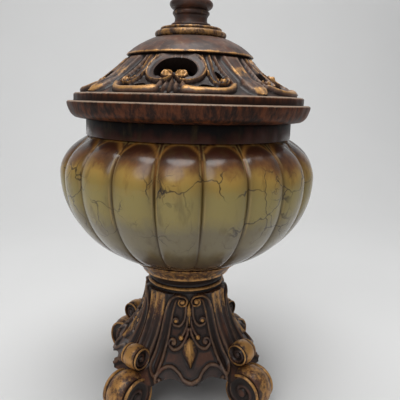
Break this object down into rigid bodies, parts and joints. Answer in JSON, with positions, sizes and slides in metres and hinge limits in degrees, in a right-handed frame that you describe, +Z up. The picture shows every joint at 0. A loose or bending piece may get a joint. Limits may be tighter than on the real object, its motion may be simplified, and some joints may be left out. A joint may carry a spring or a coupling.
{
  "type": "covered urn",
  "caption": "Covered decorative urn: lobed glazed bowl on a hollow scroll-footed resin pedestal, with a loose pierced lid that lifts off and turns, topped by a stepped cap and turned finial.",
  "frame": {"origin": "on the floor under the middle of the four feet, at the underside of the felt pads", "axes": "+Z up along the urn's axis, -Y out of the front face of the pedestal, +X to the viewer's right"},
  "size_m": [0.1994, 0.1994, 0.3432],
  "materials": {
    "cast_resin": "dark umber cast resin, rubbed with gold on the raised edges",
    "gilded_resin": "gold-rubbed cast resin over dark umber",
    "crackle_glaze": "glossy crackle glaze running from near-black brown through amber to grey-green",
    "steel": "plain zinc-plated",
    "rubber": "soft matt",
    "felt": "brown felt"
  },
  "bodies": {
    "base": {"pedestal": "cast_resin", "bowl_seat": "gilded_resin", "bowl": "crackle_glaze", "tie_bolt": "steel", "bowl_washer": "rubber", "clamp_washer": "steel", "clamp_nut": "steel", "felt_pad_back_right": "felt", "felt_pad_back_left": "felt", "felt_pad_front_left": "felt", "felt_pad_front_right": "felt"},
    "seal": {"lid_seal_ring": "rubber"},
    "cover": {"lid_rim": "cast_resin", "lid_cone": "cast_resin", "lid_cap": "cast_resin", "finial": "cast_resin", "finial_stud": "steel", "finial_washer": "steel", "finial_nut": "steel"}
  },
  "joints": [
    {"name": "lid_lift", "type": "slide", "parent": "base", "child": "seal", "axis": [0, 0, 1], "range_m": [0, 0.12]},
    {"name": "lid_turn", "type": "hinge", "parent": "seal", "child": "cover", "pos_m": [0, 0, 0.2292], "axis": [0, 0, 1], "continuous": true}
  ]
}
